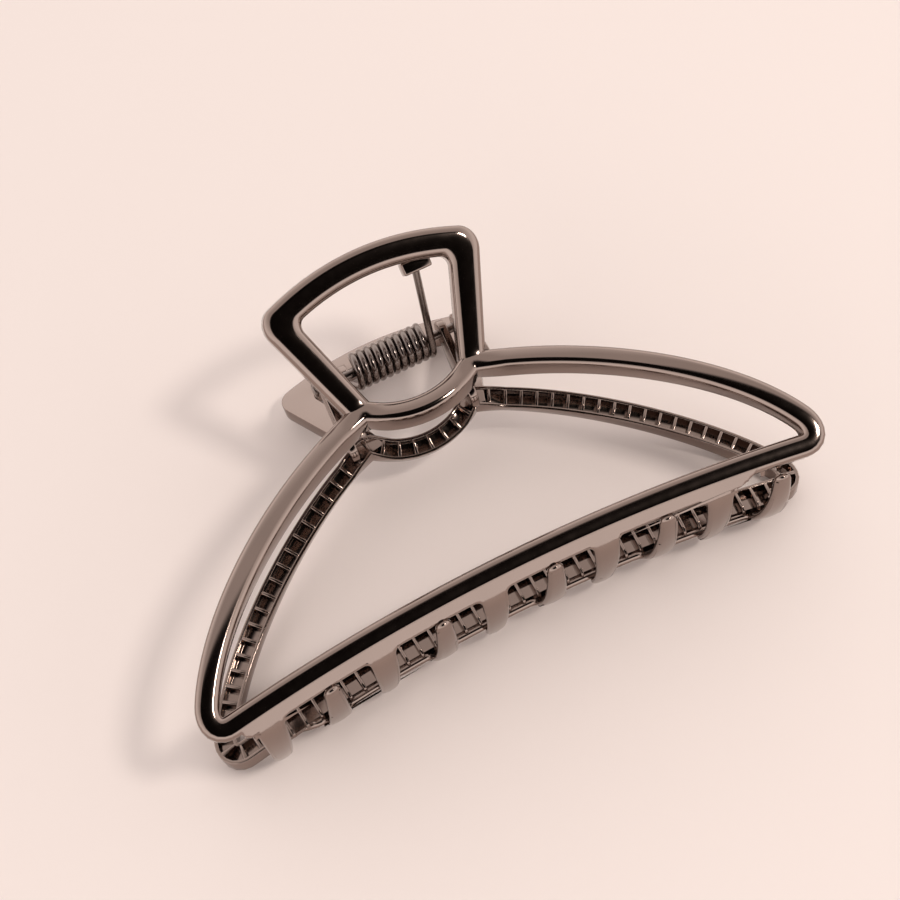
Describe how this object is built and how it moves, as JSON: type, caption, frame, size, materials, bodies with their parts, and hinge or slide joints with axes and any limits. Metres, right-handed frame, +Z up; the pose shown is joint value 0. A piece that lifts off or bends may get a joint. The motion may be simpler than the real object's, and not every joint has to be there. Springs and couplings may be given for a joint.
{
  "type": "hair claw clip",
  "caption": "Metal hair claw clip with two hinged open-frame jaws, interlocking curved teeth, loop handles and a coil spring.",
  "frame": {"origin": "centre of the bounding box at the height of the table that the clip lies on", "axes": "+X along the clip's length, +Y from the teeth to the handles, +Z up from the rear jaw to the front jaw"},
  "size_m": [0.1014, 0.065, 0.0387],
  "materials": {
    "plated_zinc": "black nickel plating, glossy",
    "pin_steel": "plated, glossy",
    "spring_steel": "plated, glossy"
  },
  "bodies": {
    "rear_body": {"rear_jaw": "plated_zinc", "hinge_pin": "pin_steel", "spring": "spring_steel"},
    "front_body": {"front_jaw": "plated_zinc"}
  },
  "joints": [
    {"name": "jaw_hinge", "type": "hinge", "parent": "rear_body", "child": "front_body", "pos_m": [0, 0.01894, 0.01801], "axis": [-1, 0, 0], "range_deg": [0, 40], "stiffness_Nm_per_rad": 0.12, "springref_deg": -34.38, "deforming": ["spring"]}
  ]
}
